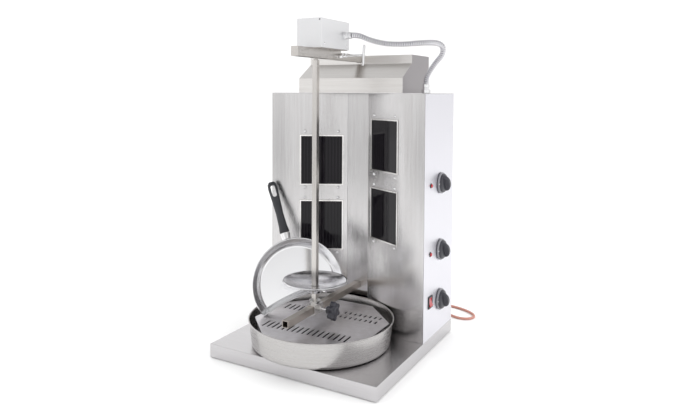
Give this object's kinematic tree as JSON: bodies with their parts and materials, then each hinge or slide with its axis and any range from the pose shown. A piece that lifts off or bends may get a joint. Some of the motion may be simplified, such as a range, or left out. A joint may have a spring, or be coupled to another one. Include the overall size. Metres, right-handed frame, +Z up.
{
  "type": "vertical rotisserie oven",
  "caption": "Vertical electric rotisserie: stainless plinth and cabinet with glass-fronted radiant heaters, a motor-turned spit with plate, round drip tray and catch pan.",
  "frame": {"origin": "centre of the object's outline seen from above, measured without the mains lead, at the surface it stands on", "axes": "+X towards the side with the controls, +Y towards the rear panel, +Z up"},
  "size_m": [0.4662, 0.6731, 0.802],
  "materials": {
    "brushed_stainless": "brushed, semi-bright",
    "satin_cover": "satin, pale",
    "polished_aluminium": "polished",
    "black_ceramic_glass": "gloss black heat-proof glass",
    "heater_ceramic": "unglazed ceramic",
    "black_plastic": "semi-matt phenolic",
    "motor_casting": "painted casting",
    "red_lens": "gloss translucent",
    "foot_rubber": "matt",
    "silicone_cord": "satin silicone",
    "conduit_steel": "wound strip, semi-bright"
  },
  "bodies": {
    "root": {"plinth": "brushed_stainless", "left_front_sheet": "brushed_stainless", "right_front_sheet": "brushed_stainless", "middle_strip": "brushed_stainless", "left_side_panel": "brushed_stainless", "rear_panel": "brushed_stainless", "top_panel": "brushed_stainless", "hood": "brushed_stainless", "upper_arm": "brushed_stainless", "lower_arm": "brushed_stainless", "conduit_fitting_base": "brushed_stainless", "bezel_left_upper": "brushed_stainless", "bezel_left_lower": "brushed_stainless", "bezel_right_upper": "brushed_stainless", "bezel_right_lower": "brushed_stainless", "right_side_panel": "satin_cover", "glass_left_upper": "black_ceramic_glass", "glass_left_lower": "black_ceramic_glass", "glass_right_upper": "black_ceramic_glass", "glass_right_lower": "black_ceramic_glass", "heater_left_upper": "heater_ceramic", "heater_left_lower": "heater_ceramic", "heater_right_upper": "heater_ceramic", "heater_right_lower": "heater_ceramic", "terminal_block": "heater_ceramic", "regulator_1": "black_plastic", "regulator_2": "black_plastic", "regulator_3": "black_plastic", "switch_housing": "black_plastic", "cord_gland": "black_plastic", "power_plug": "black_plastic", "lamp_1": "red_lens", "lamp_2": "red_lens", "foot_1": "foot_rubber", "foot_2": "foot_rubber", "foot_3": "foot_rubber", "foot_4": "foot_rubber", "power_cord": "silicone_cord", "cord_coil": "silicone_cord", "conduit": "conduit_steel"},
    "top_carriage": {"upper_channel": "brushed_stainless", "gear_motor": "motor_casting", "motor_cover": "satin_cover", "conduit_fitting_motor": "brushed_stainless"},
    "drive": {"drive_socket": "brushed_stainless"},
    "spit": {"spit_bar": "brushed_stainless", "spit_plate": "polished_aluminium", "plate_screw": "polished_aluminium"},
    "top_clamp": {"clamp_screw": "brushed_stainless"},
    "bottom_carriage": {"lower_carriage": "brushed_stainless"},
    "bottom_clamp": {"star_knob": "black_plastic"},
    "upper_knob": {"knob_1": "black_plastic"},
    "middle_knob": {"knob_2": "black_plastic"},
    "lower_knob": {"knob_3": "black_plastic"},
    "rocker": {"switch_rocker": "red_lens"},
    "pan": {"catch_pan": "polished_aluminium", "pan_ferrule": "polished_aluminium", "pan_handle": "black_plastic"},
    "tray": {"drip_tray": "brushed_stainless", "tray_grid": "brushed_stainless"}
  },
  "joints": [
    {"name": "top_carriage_slide", "type": "slide", "parent": "root", "child": "top_carriage", "axis": [0, 1, 0], "range_m": [-0.03, 0.03], "deforming": ["conduit"]},
    {"name": "top_clamp_turn", "type": "hinge", "parent": "top_carriage", "child": "top_clamp", "pos_m": [-0.0035, -0.01535, 0.7225], "axis": [1, 0, 0], "range_deg": [0, 300]},
    {"name": "drive_turn", "type": "hinge", "parent": "top_carriage", "child": "drive", "pos_m": [-0.013, -0.11135, 0.718], "axis": [0, 0, 1], "continuous": true},
    {"name": "spit_lift", "type": "slide", "parent": "drive", "child": "spit", "axis": [0, 0, 1], "range_m": [0, 0.009]},
    {"name": "bottom_carriage_slide", "type": "slide", "parent": "root", "child": "bottom_carriage", "axis": [0, 1, 0], "range_m": [-0.03, 0.03]},
    {"name": "bottom_clamp_turn", "type": "hinge", "parent": "bottom_carriage", "child": "bottom_clamp", "pos_m": [0.03, -0.11135, 0.125], "axis": [1, 0, 0], "range_deg": [0, 300]},
    {"name": "upper_knob_turn", "type": "hinge", "parent": "root", "child": "upper_knob", "pos_m": [0.2073, 0.12965, 0.408], "axis": [-1, 0, 0], "range_deg": [0, 270]},
    {"name": "middle_knob_turn", "type": "hinge", "parent": "root", "child": "middle_knob", "pos_m": [0.2073, 0.12965, 0.2405], "axis": [-1, 0, 0], "range_deg": [0, 270]},
    {"name": "lower_knob_turn", "type": "hinge", "parent": "root", "child": "lower_knob", "pos_m": [0.2073, 0.12965, 0.114], "axis": [-1, 0, 0], "range_deg": [0, 270]},
    {"name": "rocker_tilt", "type": "hinge", "parent": "root", "child": "rocker", "pos_m": [0.2061, 0.06515, 0.124], "axis": [0, 1, 0], "range_deg": [0, 18]},
    {"name": "pan_lift", "type": "slide", "parent": "root", "child": "pan", "axis": [-0.5011, -0.2004, 0.8419], "range_m": [0, 0.3]},
    {"name": "tray_pull", "type": "slide", "parent": "root", "child": "tray", "axis": [0, -1, 0], "range_m": [0, 0.3]}
  ],
  "couplings": [
    {"joint": "bottom_carriage_slide", "follows": "top_carriage_slide", "ratio": 1},
    {"joint": "tray_pull", "follows": "pan_lift", "ratio": 1}
  ]
}
